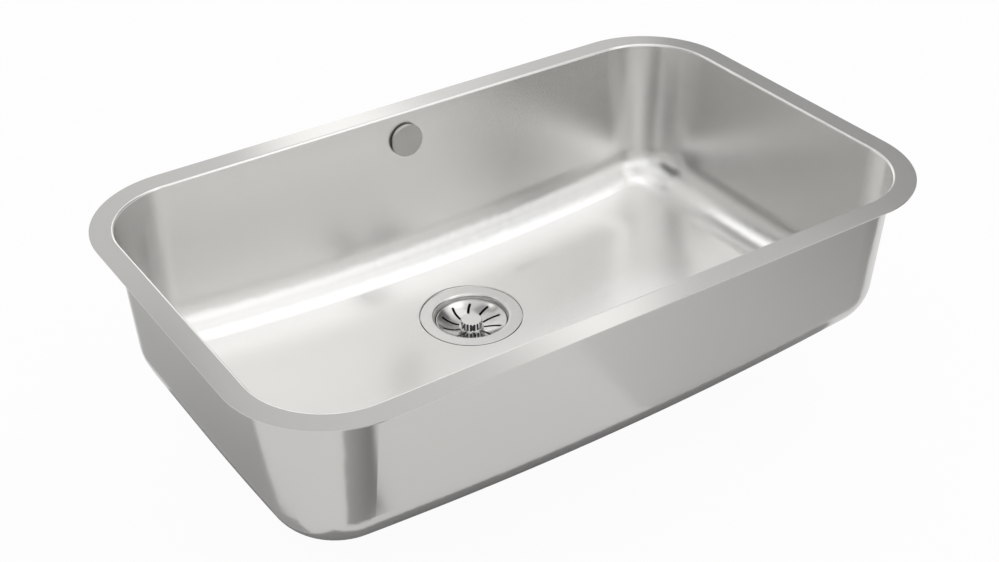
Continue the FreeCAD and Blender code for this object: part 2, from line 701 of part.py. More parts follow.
def make_overflow_screw():
    """Pan-head screw through the ring's hub into the elbow's nut."""
    head_top = bolt_seat + bolt_head_height
    head = rounded_top(cylinder(bolt_head_r, bolt_seat, head_top), bolt_head_edge_r)
    across = bolt_head_r + past
    slot = Part.makeBox(2 * across, bolt_slot, bolt_slot_depth + past,
                        V(-across, -bolt_slot / 2, head_top - bolt_slot_depth))
    shank = cylinder(bolt_r, nut_low + bolt_tip_gap, bolt_seat + merge)
    return placed(head.fuse(shank).removeSplitter().cut(slot))


def make_overflow_nut():
    """Brass insert in the elbow's post, which takes the screw."""
    return placed(ring(bolt_r + fit_gap / 2, nut_r, nut_low, nut_low + nut_length))


def make_overflow_seal():
    """Rubber ring between the back of the wall and the elbow."""
    return placed(ring(overflow_hole_r + seal_inset, elbow_flange_r - seal_inset, elbow_mouth,
                       -sheet))


def make_overflow_elbow():
    """Moulded cup behind the wall, with a post for the nut and an upright spigot below."""
    floor = elbow_back + elbow_wall
    flange = cylinder(elbow_flange_r, elbow_mouth - elbow_flange_thick, elbow_mouth)
    cup = flange.fuse(cylinder(elbow_r, elbow_back, elbow_mouth - merge))
    spigot = cylinder(spigot_r, top_spigot_z, overflow_z - elbow_r / 3, y=hose_y)
    cavity = placed(cylinder(elbow_bore_r, floor, elbow_mouth + past))
    bore = cylinder(spigot_bore_r, top_spigot_z - past, overflow_z - elbow_r / 2, y=hose_y)
    socket = cylinder(socket_r, top_spigot_z - past, hose_top_z + seat_gap, y=hose_y)
    body = placed(cup).fuse(spigot).cut([cavity, bore, socket])
    post = placed(cylinder(nut_r + post_wall, floor - merge, nut_low + nut_length))
    pocket = placed(cylinder(nut_r, nut_low, nut_low + nut_length + past))
    return body.fuse(post).cut(pocket).removeSplitter()


# ---- Unions and hose ----------------------------------------------------------------
def union_place(end):
    """Placement of a union: local +Z runs from the spigot's end along the hose."""
    if end == "top":
        return FreeCAD.Placement(V(0, hose_y, top_spigot_z), FreeCAD.Rotation(V(1, 0, 0), 180))
    return FreeCAD.Placement(V(0, side_spigot_y, side_spigot_z),
                             FreeCAD.Rotation(V(1, 0, 0), -90))


def make_hose_washer(end):
    """Conical rubber washer on the spigot's end."""
    outer = spigot_r - seal_inset
    washer = turned(lines(at(hose_cuff_r, 0), at(outer, 0), at(outer, washer_edge),
                          at(hose_cuff_r + washer_tip, washer_height),
                          at(hose_cuff_r, washer_height), at(hose_cuff_r, 0)))
    washer.Placement = union_place(end)
    return washer


def make_hose_nut(end):
    """Union nut with grips over the spigot."""
    bore, low, high = spigot_r + fit_gap, -union_nut_back, union_nut_front
    outer, chamfer_z = bore + union_nut_wall, high - union_nut_chamfer
    body = turned(lines(at(bore, low), at(outer, low), at(outer, chamfer_z),
                        at(outer - union_nut_chamfer, high), at(socket_r, high),
                        at(socket_r, washer_height + washer_gap),
                        at(bore, washer_edge + washer_gap), at(bore, low)))
    grip = cylinder(union_grip_r, low, chamfer_z, x=outer - union_grip_sink)
    body = body.fuse(around(union_nut_grips, lambda turn: rotated(grip, turn)))
    body = body.removeSplitter()
    body.Placement = union_place(end)
    return body


def hose_station(distance):
    """Point and turn about X of the hose's axis at a distance from its upper end."""
    if distance <= hose_drop:
        return V(0, hose_y, hose_top_z - distance), 180.0
    if distance <= hose_drop + hose_turn:
        angle = (distance - hose_drop) / hose_bend_r
        point = V(0, hose_y - hose_bend_r * (1 - math.cos(angle)),
                  hose_top_z - hose_drop - hose_bend_r * math.sin(angle))
        return point, 180.0 - math.degrees(angle)
    rest = distance - hose_drop - hose_turn
    return V(0, hose_y - hose_bend_r - rest, side_spigot_z), 90.0


def hose_circle(distance, radius):
    """Section of the hose, with its X axis steady."""
    point, turn = hose_station(distance)
    circle = Part.Wire(Part.makeCircle(radius))
    circle.Placement = FreeCAD.Placement(point, FreeCAD.Rotation(V(1, 0, 0), turn))
    return circle


def hose_bore():
    """Smooth bore along the hose's axis, past both its ends."""
    bend_top = V(0, hose_y, hose_top_z - hose_drop)
    bend_end = V(0, hose_y - hose_bend_r, side_spigot_z)
    middle, _ = hose_station(hose_drop + hose_turn / 2)
    top = V(0, hose_y, hose_top_z + past)
    path = (lines(top, bend_top) + [arc(bend_top, middle, bend_end)]
            + lines(bend_end, V(0, hose_mouth_y - past, side_spigot_z)))
    section = Part.Wire(Part.makeCircle(hose_bore_r, top, V(0, 0, -1)))
    return Part.Wire(path).makePipeShell([section], True, False)


def make_overflow_hose():
    """Ribbed hose from the elbow to the waste body, with plain cuffs and a smooth bore."""
    ribbed = hose_length - 2 * hose_cuff_length
    count = int(ribbed / hose_rib_pitch)
    pitch = ribbed / count
    last_cuff = hose_length - hose_cuff_length + hose_cuff_blend
    stations = [(0.0, hose_cuff_r), (hose_cuff_length - hose_cuff_blend, hose_cuff_r)]
    for i in range(count):
        foot = hose_cuff_length + i * pitch
        stations += [(foot, hose_root_r), (foot + 0.3 * pitch, hose_rib_r),
                     (foot + 0.6 * pitch, hose_rib_r), (foot + 0.9 * pitch, hose_root_r)]
    stations += [(last_cuff, hose_cuff_r), (hose_length, hose_cuff_r)]
    skin = Part.makeLoft([hose_circle(s, r) for s, r in stations], True, True)
    print("hose: length %.1f mm, bend radius %.1f mm, %d ribs, gap between ribs %.2f mm"
          % (hose_length, hose_bend_r, count, 0.4 * pitch))
    return skin.cut(hose_bore())


# ---- Export -------------------------------------------------------------------------
NODES = {
    "bowl": make_bowl,
    "sound_pads": make_sound_pads,
    "waste_flange": make_waste_flange,
    "waste_top_seal": make_waste_top_seal,
    "waste_under_seal": make_waste_under_seal,
    "waste_body": make_waste_body,
    "clamp_screw": make_clamp_screw,
    "screw_insert": make_screw_insert,
    "basket": make_basket,
    "basket_knob": make_basket_knob,
    "basket_spindle": make_basket_spindle,
    "spindle_ring": make_spindle_ring,
    "basket_seal": make_basket_seal,
    "overflow_ring": make_overflow_ring,
    "overflow_cover": make_overflow_cover,
    "overflow_screw": make_overflow_screw,
    "overflow_nut": make_overflow_nut,
    "overflow_seal": make_overflow_seal,
    "overflow_elbow": make_overflow_elbow,
    "overflow_hose": make_overflow_hose,
    "hose_washer_top": lambda: make_hose_washer("top"),
    "hose_washer_bottom": lambda: make_hose_washer("bottom"),
    "hose_nut_top": lambda: make_hose_nut("top"),
    "hose_nut_bottom": lambda: make_hose_nut("bottom"),
}


def main():
    """Build every piece and write one STEP file for each."""
    os.makedirs("parts", exist_ok=True)
    for name, make in NODES.items():
        shape = make()
        solids = len(shape.Solids)
        print("%-20s solids %d  valid %s  volume %.1f cm3"
              % (name, solids, shape.isValid(), shape.Volume / 1000))
        shape.exportStep("parts/%s.step" % name)


main()
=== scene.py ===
"""Looks of an undermount kitchen sink: satin pressed bowl, basket waste and overflow set.

Metres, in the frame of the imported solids: the origin is the centre of the flange's top
face, +X runs along the long side, +Y points to the rear wall and +Z points up.
"""
import json
import logging
import math
from dataclasses import dataclass, field
from enum import Enum

import bmesh
import bpy
from mathutils import Matrix, Vector

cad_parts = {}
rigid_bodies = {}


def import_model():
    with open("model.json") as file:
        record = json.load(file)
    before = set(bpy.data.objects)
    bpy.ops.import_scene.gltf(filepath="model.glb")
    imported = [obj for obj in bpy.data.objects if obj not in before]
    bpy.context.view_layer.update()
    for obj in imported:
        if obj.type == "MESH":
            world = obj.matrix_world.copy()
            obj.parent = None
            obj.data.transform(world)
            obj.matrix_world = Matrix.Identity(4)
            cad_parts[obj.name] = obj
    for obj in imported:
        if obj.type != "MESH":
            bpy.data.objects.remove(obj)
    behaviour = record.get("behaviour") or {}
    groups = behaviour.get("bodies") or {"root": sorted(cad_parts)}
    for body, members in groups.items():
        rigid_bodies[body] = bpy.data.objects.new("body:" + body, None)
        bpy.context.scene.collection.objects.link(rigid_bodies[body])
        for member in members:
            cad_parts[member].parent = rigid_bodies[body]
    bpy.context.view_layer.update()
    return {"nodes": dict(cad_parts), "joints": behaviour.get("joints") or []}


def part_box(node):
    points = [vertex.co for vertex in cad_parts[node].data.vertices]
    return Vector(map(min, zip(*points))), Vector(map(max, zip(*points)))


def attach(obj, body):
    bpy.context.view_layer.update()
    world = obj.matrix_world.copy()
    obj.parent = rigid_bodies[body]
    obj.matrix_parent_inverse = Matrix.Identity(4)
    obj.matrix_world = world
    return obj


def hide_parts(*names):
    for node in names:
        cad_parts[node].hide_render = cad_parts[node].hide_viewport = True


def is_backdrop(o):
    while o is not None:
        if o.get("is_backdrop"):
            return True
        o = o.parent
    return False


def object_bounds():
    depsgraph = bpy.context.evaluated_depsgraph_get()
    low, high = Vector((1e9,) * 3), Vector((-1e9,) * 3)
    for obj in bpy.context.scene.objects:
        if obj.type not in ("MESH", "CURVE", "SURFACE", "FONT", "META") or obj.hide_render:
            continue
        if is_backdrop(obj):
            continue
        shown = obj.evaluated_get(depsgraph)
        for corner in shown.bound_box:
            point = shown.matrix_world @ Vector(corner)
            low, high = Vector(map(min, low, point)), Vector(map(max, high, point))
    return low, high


LOG = logging.getLogger("sink")
MM = 0.001
Colour = tuple[float, float, float]
TURNED: Colour = (0.66, 0.66, 0.65)
BRASS: Colour = (0.72, 0.56, 0.28)
RUBBER: Colour = (0.03, 0.03, 0.032)


# ---- Nodes --------------------------------------------------------------------------
class Bench:
    """A new node material, with short calls that add and join its nodes."""

    def __init__(self, name: str) -> None:
        """Start an empty material.

        Args:
            name: Name of the material.
        """
        self.material = bpy.data.materials.new(name)
        self.material.use_nodes = True
        self.tree = self.material.node_tree
        self.tree.nodes.clear()

    def add(self, kind: str, **settings: object) -> bpy.types.Node:
        """Add a node and set its properties.

        Args:
            kind: Blender's name of the node type.
            **settings: Properties of the node.

        Returns:
            The new node.
        """
        node = self.tree.nodes.new(kind)
        for key, value in settings.items():
            setattr(node, key, value)
        return node

    def feed(self, socket: bpy.types.NodeSocket, value: object) -> None:
        """Link a socket to another, or set its value.

        Args:
            socket: Input to feed.
            value: Output socket to link, or a plain value.
        """
        if isinstance(value, bpy.types.NodeSocket):
            self.tree.links.new(value, socket)
        else:
            socket.default_value = value

    def math(self, operation: str, *values: object) -> bpy.types.NodeSocket:
        """Scalar sum, product or other operation.

        Args:
            operation: Blender's name of the operation.
            *values: Sockets or numbers, in the order of the node's inputs.

        Returns:
            The result's socket.
        """
        node = self.add("ShaderNodeMath", operation=operation)
        for socket, value in zip(node.inputs, values):
            self.feed(socket, value)
        return node.outputs[0]

    def vector(self, operation: str, *values: object, out: int = 0) -> bpy.types.NodeSocket:
        """Vector operation.

        Args:
            operation: Blender's name of the operation.
            *values: Sockets or triples, in the order of the node's inputs.
            out: Index of the output, 1 for a scalar result.

        Returns:
            The result's socket.
        """
        node = self.add("ShaderNodeVectorMath", operation=operation)
        for socket, value in zip(node.inputs, values):
            self.feed(socket, value)
        return node.outputs[out]

    def noise(self, place: object, scale: float, detail: float = 2.0) -> bpy.types.NodeSocket:
        """Noise from 0 to 1 at a place.

        Args:
            place: Socket of the place.
            scale: Number of cells to the metre, or to the unit of the place.
            detail: Octaves of finer noise.

        Returns:
            The noise's socket.
        """
        node = self.add("ShaderNodeTexNoise")
        node.inputs["Scale"].default_value = scale
        node.inputs["Detail"].default_value = detail
        self.feed(node.inputs["Vector"], place)
        return node.outputs["Fac"]

    def between(self, share: object, low: float, high: float) -> bpy.types.NodeSocket:
        """Number that goes from low to high as share goes from 0 to 1.

        Args:
            share: Socket of the share.
            low: Result at 0.
            high: Result at 1.

        Returns:
            The result's socket.
        """
        node = self.add("ShaderNodeMapRange")
        self.feed(node.inputs["Value"], share)
        node.inputs["To Min"].default_value = low
        node.inputs["To Max"].default_value = high
        return node.outputs["Result"]

    def ramp(self, value: object, start: float, end: float) -> bpy.types.NodeSocket:
        """Number that eases from 0 to 1 as value goes from start to end.

        Args:
            value: Socket of the value.
            start: Value up to which the result is 0.
            end: Value from which the result is 1.

        Returns:
            The result's socket.
        """
        node = self.add("ShaderNodeMapRange", interpolation_type="SMOOTHSTEP")
        self.feed(node.inputs["Value"], value)
        node.inputs["From Min"].default_value = start
        node.inputs["From Max"].default_value = end
        return node.outputs["Result"]

    def blend(self, share: object, low: object, high: object) -> bpy.types.NodeSocket:
        """Blend of two colours.

        Args:
            share: Share of the second colour, a socket or a number.
            low: First colour, a socket or four numbers.
            high: Second colour, a socket or four numbers.

        Returns:
            The blend's socket.
        """
        node = self.add("ShaderNodeMix", data_type="RGBA")
        self.feed(node.inputs["Factor"], share)
        self.feed(node.inputs["A"], low)
        self.feed(node.inputs["B"], high)
        return node.outputs["Result"]

    def tint(self, share: object, low: Colour, high: Colour) -> bpy.types.NodeSocket:
        """Colour that goes from low to high as share goes from 0 to 1."""
        return self.blend(share, (*low, 1.0), (*high, 1.0))

    def bump(self, height: object, depth: float) -> bpy.types.NodeSocket:
        """Normal of a relief.

        Args:
            height: Socket of the height, from 0 to 1.
            depth: Depth of the relief in metres.

        Returns:
            The normal's socket.
        """
        node = self.add("ShaderNodeBump")
        node.inputs["Distance"].default_value = depth
        self.feed(node.inputs["Height"], height)
        return node.outputs["Normal"]

    def place(self) -> bpy.types.NodeSocket:
        """Place on the piece in the frame at rest, in metres."""
        return self.add("ShaderNodeTexCoord").outputs["Object"]

    def principled(self, **sockets: object) -> bpy.types.Material:
        """Finish the material with one Principled shader.

        Args:
            **sockets: Values or sockets by input name, with _ for each space.

        Returns:
            The finished material.
        """
        shader = self.add("ShaderNodeBsdfPrincipled")
        for key, value in sockets.items():
            self.feed(shader.inputs[key.replace("_", " ")], value)
        output = self.add("ShaderNodeOutputMaterial")
        self.tree.links.new(shader.outputs[0], output.inputs["Surface"])
        return self.material


def scaled(colour: Colour, factor: float) -> Colour:
    """Colour times a factor."""
    return tuple(channel * factor for channel in colour)


# ---- Finishes -----------------------------------------------------------------------
@dataclass(frozen=True)
class BrushedSteel:
    """Satin stainless steel whose fine grain runs level round the walls and along the floor."""

    name: str
    colour: Colour
    roughness: float
    spread: float = 0.02
    tint_spread: float = 0.03
    grain_width: float = 0.35 * MM
    grain_length: float = 70 * MM
    grain_depth: float = 0.0006 * MM
    grain_share: float = 0.6
    clouds_per_metre: float = 9.0

    @staticmethod
    def steepness(bench: Bench) -> bpy.types.NodeSocket:
        """Socket that goes from 0 on level faces to 1 on steep ones.

        Args:
            bench: Material in the making.

        Returns:
            The socket.
        """
        parts = bench.add("ShaderNodeSeparateXYZ")
        bench.feed(parts.inputs[0], bench.add("ShaderNodeNewGeometry").outputs["Normal"])
        upright = bench.math("ABSOLUTE", parts.outputs["Z"])
        steep = bench.math("SMOOTH_MIN", bench.between(upright, 1.6, -0.6), 1.0, 0.2)
        return bench.math("MAXIMUM", steep, 0.0)

    def grain(self, bench: Bench, place: bpy.types.NodeSocket,
              steep: bpy.types.NodeSocket) -> bpy.types.NodeSocket:
        """Streaks along the grain: across Z on steep faces and across Y on level ones.

        Args:
            bench: Material in the making.
            place: Socket of the place on the piece.
            steep: Socket that is 1 on steep faces and 0 on level ones.

        Returns:
            The streaks' socket, from 0 to 1.
        """
        along, across = 1 / self.grain_length, 1 / self.grain_width
        wall = bench.noise(bench.vector("MULTIPLY", place, (along, along, across)), 1.0)
        level = bench.noise(bench.vector("MULTIPLY", place, (along, across, along)), 1.0)
        mix = bench.add("ShaderNodeMix")
        bench.feed(mix.inputs["Factor"], steep)
        bench.feed(mix.inputs["A"], level)
        bench.feed(mix.inputs["B"], wall)
        return mix.outputs["Result"]

    def material(self) -> bpy.types.Material:
        """Build the node material.

        Returns:
            The finished material.
        """
        bench = Bench(self.name)
        place = bench.place()
        grain = self.grain(bench, place, self.steepness(bench))
        clouds = bench.noise(place, self.clouds_per_metre, 3.0)
        shade = bench.math("ADD", bench.math("MULTIPLY", grain, self.grain_share),
                           bench.math("MULTIPLY", clouds, 1 - self.grain_share))
        rough = bench.between(shade, self.roughness - self.spread, self.roughness + self.spread)
        return bench.principled(
            Base_Color=bench.tint(shade, scaled(self.colour, 1 - self.tint_spread),
                                  scaled(self.colour, 1 + self.tint_spread)),
            Metallic=1.0, Roughness=rough, Normal=bench.bump(grain, self.grain_depth))


@dataclass(frozen=True)
class TurnedSteel:
    """Steel with faint rings round an upright or tilted axis, as left by a lathe or a polisher,
    with painted shade deep in a cup or in the valleys of flutes.
    """

    name: str
    colour: Colour
    roughness: float
    centre: tuple[float, float, float]
    axis: tuple[float, float, float] = (0.0, 0.0, 1.0)
    anisotropy: float = 0.2
    ring_width: float = 0.3 * MM
    ring_depth: float = 0.003 * MM
    tint_spread: float = 0.04
    roughness_spread: float = 0.2
    clouds_per_metre: float = 60.0
    # Range of the normal's steepness over which level faces keep the full colour, free of the
    # painted shade.
    flute_side: tuple[float, float] = (0.6, 0.8)
    # Painted shade: the colour's factor in the shaded part, and the heights or the reaches from
    # the axis over which the shade fades out.
    painted_shade: float = 1.0
    painted_shade_below: tuple[float, float] | None = None
    painted_shade_within: tuple[float, float] | None = None

    def unshaded_share(self, bench: Bench, place: bpy.types.NodeSocket,
                    reach: bpy.types.NodeSocket) -> object:
        """Share of the unshaded colour: less where shade is painted, deep in a cup and in the
        valleys of flutes.

        Args:
            bench: Material in the making.
            place: Socket of the place on the piece.
            reach: Socket of the distance from the axis.

        Returns:
            The share's socket, or 1 for a piece without painted shade.
        """
        # Painted shade in a cup: full colour above the upper height, shaded colour below the lower
        # one.
        if self.painted_shade_below:
            parts = bench.add("ShaderNodeSeparateXYZ")
            bench.feed(parts.inputs[0], place)
            return bench.ramp(parts.outputs["Z"], *self.painted_shade_below)
        # Painted shade in flute valleys: steep faces near the axis darken, while level faces and
        # the crests keep the full colour.
        if self.painted_shade_within:
            parts = bench.add("ShaderNodeSeparateXYZ")
            bench.feed(parts.inputs[0], bench.add("ShaderNodeNewGeometry").outputs["Normal"])
            level = bench.ramp(bench.math("ABSOLUTE", parts.outputs["Z"]), *self.flute_side)
            return bench.math("MAXIMUM", level, bench.ramp(reach, *self.painted_shade_within))
        return 1.0

    def material(self) -> bpy.types.Material:
        """Build the node material.

        Returns:
            The finished material.
        """
        bench = Bench(self.name)
        place = bench.place()
        arm = bench.vector("SUBTRACT", place, self.centre)
        around = bench.vector("CROSS_PRODUCT", self.axis, arm)
        reach = bench.vector("LENGTH", around, out=1)
        turn = bench.add("ShaderNodeVectorTransform", vector_type="VECTOR",
                         convert_from="OBJECT", convert_to="WORLD")
        bench.feed(turn.inputs[0], around)
        line = bench.add("ShaderNodeCombineXYZ")
        bench.feed(line.inputs["X"], bench.math("DIVIDE", reach, self.ring_width))
        rings = bench.noise(line.outputs[0], 1.0)
        clouds = bench.noise(place, self.clouds_per_metre, 3.0)
        shade = bench.math("ADD", bench.math("MULTIPLY", rings, 0.5),
                           bench.math("MULTIPLY", clouds, 0.5))
        bright = bench.tint(shade, scaled(self.colour, 1 - self.tint_spread),
                            scaled(self.colour, 1 + self.tint_spread))
        # Painted shade: the colour darkened where a cup's depth or a flute valley would lie in
        # shade.
        painted_shade = (*scaled(self.colour, self.painted_shade), 1.0)
        return bench.principled(
            Base_Color=bench.blend(self.unshaded_share(bench, place, reach), painted_shade, bright),
            Metallic=1.0, Anisotropic=self.anisotropy, Tangent=turn.outputs[0],
            Roughness=bench.between(shade, self.roughness * (1 - self.roughness_spread),
                                    self.roughness * (1 + self.roughness_spread)),
            Normal=bench.bump(rings, self.ring_depth))


@dataclass(frozen=True)
class Moulding:
    """Rubber or plastic with a fine moulded grain and faint clouding."""

    name: str
    colour: Colour
    roughness: float
    grain: float = 0.5 * MM
    depth: float = 0.03 * MM
    tint_spread: float = 0.2
    roughness_spread: float = 0.06
    clouds_per_metre: float = 25.0

    def material(self) -> bpy.types.Material:
        """Build the node material.

        Returns:
            The finished material.
        """
        bench = Bench(self.name)
        place = bench.place()
        cells = bench.noise(place, 1 / self.grain, 2.0)
        clouds = bench.noise(place, self.clouds_per_metre, 4.0)
        return bench.principled(
            Base_Color=bench.tint(clouds, scaled(self.colour, 1 - self.tint_spread),
                                  scaled(self.colour, 1 + self.tint_spread)),
            Roughness=bench.between(clouds, self.roughness - self.roughness_spread,
                                    self.roughness + self.roughness_spread),
            Normal=bench.bump(cells, self.depth))


# ---- Meshes -------------------------------------------------------------------------
def new_piece(name: str, rings: list[list[Vector]], closed: bool,
              finish: bpy.types.Material) -> bpy.types.Object:
    """Mesh object that joins rings of points, each to the next.

    Args:
        name: Name of the piece.
        rings: Rings with equal numbers of points.
        closed: True if the last ring joins the first.
        finish: Material of the piece.

    Returns:
        The new object, shaded smooth.
    """
    mesh = bmesh.new()
    made = [[mesh.verts.new(point) for point in ring] for ring in rings]
    pairs = list(zip(made, made[1:]))
    if closed:
        pairs.append((made[-1], made[0]))
    for one, other in pairs:
        for i in range(len(one)):
            j = (i + 1) % len(one)
            mesh.faces.new((one[i], one[j], other[j], other[i]))
    bmesh.ops.recalc_face_normals(mesh, faces=mesh.faces)
    data = bpy.data.meshes.new(name)
    mesh.to_mesh(data)
    mesh.free()
    for polygon in data.polygons:
        polygon.use_smooth = True
    data.materials.append(finish)
    piece = bpy.data.objects.new(name, data)
    bpy.context.scene.collection.objects.link(piece)
    return piece


def dress(node: bpy.types.Object, finish: bpy.types.Material) -> None:
    """Give a solid of the frame its finish."""
    node.material_slots[0].material = finish


# ---- Sub-assemblies -----------------------------------------------------------------
class Zone(Enum):
    """Side of the bowl's sheet, by the index of its material slot."""

    WET = 0
    DRY = 1


@dataclass
class Bowl:
    """The pressed bowl: a satin wet side, and a duller flange and outside."""

    nodes: dict[str, bpy.types.Object]
    wet: BrushedSteel = BrushedSteel("satin_wet_side", (0.84, 0.835, 0.822), 0.26)
    dry: BrushedSteel = BrushedSteel("dull_outside", (0.67, 0.663, 0.645), 0.17)
    inside: tuple[float, float, float] = (0.0, 0.0, -60 * MM)

    def zone(self, polygon: bpy.types.MeshPolygon) -> Zone:
        """Side of the sheet that a face belongs to.

        Args:
            polygon: Face of the bowl.

        Returns:
            WET if the face looks to the middle of the bowl's inside.
        """
        facing = polygon.normal.dot(Vector(self.inside) - polygon.center)
        return Zone.WET if facing > 0 else Zone.DRY

    def build(self) -> None:
        """Dress the bowl by zones and the pads below it."""
        bowl = self.nodes["bowl"]
        dress(bowl, self.wet.material())
        bowl.data.materials.append(self.dry.material())
        for polygon in bowl.data.polygons:
            polygon.material_index = self.zone(polygon).value
        LOG.info("bowl dressed, %d faces", len(bowl.data.polygons))
        dress(self.nodes["sound_pads"],
              Moulding("damping_sheet", (0.07, 0.07, 0.073), 0.8, 1.2 * MM, 0.12 * MM).material())


@dataclass
class Waste:
    """Basket strainer: flange, cup, basket, knob and what holds them."""

    nodes: dict[str, bpy.types.Object]
    # Painted shade in the cup: full colour down to the first depth below the flange's top, a
    # quarter of it from the second depth down.
    shade_start_depth: float = 3 * MM
    shade_full_depth: float = 8 * MM
    # Painted shade on the knob: steep faces deeper than these distances in from its edge, in the
    # flute valleys, darken.
    flute_depth: float = 2.2 * MM
    flute_edge: float = 1.2 * MM

    def build(self) -> None:
        """Dress every solid of the waste."""
        low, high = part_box("waste_flange")
        centre = (0.0, (low.y + high.y) / 2, 0.0)
        knob_r = (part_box("basket_knob")[1].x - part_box("basket_knob")[0].x) / 2
        # The cup's colour carries painted shade that deepens with depth.
        steel = TurnedSteel("polished_waste_with_painted_shade", (0.76, 0.755, 0.745), 0.2, centre, painted_shade=0.25,
                            painted_shade_below=(high.z - self.shade_full_depth, high.z - self.shade_start_depth))
        basket = TurnedSteel("polished_basket", (0.74, 0.735, 0.725), 0.16, centre)
        # The knob's colour carries painted shade in its flute valleys.
        knob = TurnedSteel("bright_knob_with_painted_shade", (0.80, 0.80, 0.79), 0.12, centre, painted_shade=0.12,
                           painted_shade_within=(knob_r - self.flute_depth, knob_r - self.flute_edge))
        screw = TurnedSteel("turned_screw", TURNED, 0.3, centre)
        dress(self.nodes["waste_flange"], steel.material())
        dress(self.nodes["basket"], basket.material())
        dress(self.nodes["basket_knob"], knob.material())
        for name in ("basket_spindle", "clamp_screw"):
            dress(self.nodes[name], screw.material())
        brass = TurnedSteel("turned_brass", BRASS, 0.3, centre)
        dress(self.nodes["screw_insert"], brass.material())
        rubber = Moulding("waste_rubber", RUBBER, 0.55)
        for name in ("waste_top_seal", "waste_under_seal", "spindle_ring", "basket_seal"):
            dress(self.nodes[name], rubber.material())
        body = Moulding("black_moulding", (0.045, 0.045, 0.048), 0.42)
        dress(self.nodes["waste_body"], body.material())
        LOG.info("waste dressed")


@dataclass
class Hose:
    """Ribbed hose with rounded ribs, plain cuffs and a bore."""

    cuff_length: float = 22 * MM
    lead: float = 10 * MM
    bore: float = 8 * MM
    cuff: float = 10 * MM
    root: float = 9.2 * MM
    pitch: float = 4 * MM
    fullness: float = 0.6
    rings_per_rib: int = 8
    segments: int = 56

    def build(self) -> bpy.types.Object:
        """Make the hose along the route that its solid's box gives.

        Returns:
            The hose, which stands in for its solid.
        """
        low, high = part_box("overflow_hose")
        crest = high.x
        axis_y, axis_z = high.y - crest, low.z + crest
        bend = axis_y - low.y - self.cuff_length - self.lead
        drop = high.z - axis_z - bend
        turn = math.pi / 2 * bend
        length = drop + turn + self.lead + self.cuff_length

        def ring(distance: float, radius: float) -> list[Vector]:
            """Points round the route.

            Args:
                distance: Metres along the route from its upper end.
                radius: Radius of the ring.

            Returns:
                The ring's points.
            """
            if distance <= drop:
                centre, angle = Vector((0, axis_y, high.z - distance)), 0.0
            elif distance <= drop + turn:
                angle = (distance - drop) / bend
                centre = Vector((0, axis_y - bend * (1 - math.cos(angle)),
                                 axis_z + bend * (1 - math.sin(angle))))
            else:
                angle = math.pi / 2
                centre = Vector((0, axis_y - bend - (distance - drop - turn), axis_z))
            across = Vector((0, math.cos(angle), math.sin(angle)))
            turns = [2 * math.pi * i / self.segments for i in range(self.segments)]
            return [centre + radius * (Vector((1, 0, 0)) * math.cos(t) + across * math.sin(t))
                    for t in turns]

        ribbed = length - 2 * self.cuff_length
        ribs = int(ribbed / self.pitch + 0.5)
        steps = ribs * self.rings_per_rib
        outside = [(0.0, self.cuff), (self.cuff_length, self.cuff)]
        for i in range(steps + 1):
            wave = 0.5 - 0.5 * math.cos(2 * math.pi * i / self.rings_per_rib)
            outside.append((self.cuff_length + ribbed * i / steps,
                            self.root + (crest - self.root) * wave ** self.fullness))
        outside += [(length - self.cuff_length, self.cuff), (length, self.cuff)]
        inside = [(length * (1 - i / steps), self.bore) for i in range(steps + 1)]
        rings = [ring(distance, radius) for distance, radius in outside + inside]
        plastic = Moulding("hose_plastic", (0.50, 0.50, 0.495), 0.45)
        hose = new_piece("ribbed_hose", rings, True, plastic.material())
        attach(hose, "root")
        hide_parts("overflow_hose")
        LOG.info("hose: %d ribs, %.0f mm", ribs, length / MM)
        return hose


@dataclass
class Overflow:
    """Overflow disc, ring, elbow and the unions of the hose."""

    nodes: dict[str, bpy.types.Object]
    facing: tuple[float, float, float]

    def build(self) -> None:
        """Dress every solid of the overflow and make the hose."""
        low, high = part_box("overflow_cover")
        centre = tuple((low + high) / 2)
        disc = TurnedSteel("satin_disc", (0.56, 0.55, 0.53), 0.36, centre,
                           self.facing)
        ring = TurnedSteel("bright_ring", (0.76, 0.76, 0.755), 0.12, centre, self.facing)
        screw = TurnedSteel("turned_bolt", TURNED, 0.3, centre, self.facing)
        brass = TurnedSteel("turned_nut", BRASS, 0.3, centre, self.facing)
        dress(self.nodes["overflow_cover"], disc.material())
        dress(self.nodes["overflow_ring"], ring.material())
        dress(self.nodes["overflow_screw"], screw.material())
        dress(self.nodes["overflow_nut"], brass.material())
        rubber = Moulding("overflow_rubber", RUBBER, 0.55)
        for name in ("overflow_seal", "hose_washer_top", "hose_washer_bottom"):
            dress(self.nodes[name], rubber.material())
        body = Moulding("black_elbow", (0.045, 0.045, 0.048), 0.42)
        nut = Moulding("black_union", (0.05, 0.05, 0.054), 0.36)
        dress(self.nodes["overflow_elbow"], body.material())
        for name in ("hose_nut_top", "hose_nut_bottom"):
            dress(self.nodes[name], nut.material())
        Hose().build()
        LOG.info("overflow dressed")


# ---- Studio and camera --------------------------------------------------------------
def aimed(azimuth: float, elevation: float, distance: float, roll: float = 0.0) -> Matrix:
    """Placing of a panel that faces the origin.

    Args:
        azimuth: Degrees from +Y towards +X.
        elevation: Degrees above the level plane.
        distance: Metres from the origin.
        roll: Degrees of turn about the line of sight.

    Returns:
        The panel's matrix; its face looks along its own -Z.
    """
    turn, rise = math.radians(azimuth), math.radians(elevation)
    out = Vector((math.sin(turn) * math.cos(rise), math.cos(turn) * math.cos(rise),
                  math.sin(rise)))
    return (Matrix.Translation(out * distance)
            @ (-out).to_track_quat("-Z", "Y").to_matrix().to_4x4()
            @ Matrix.Rotation(math.radians(roll), 4, "Z"))


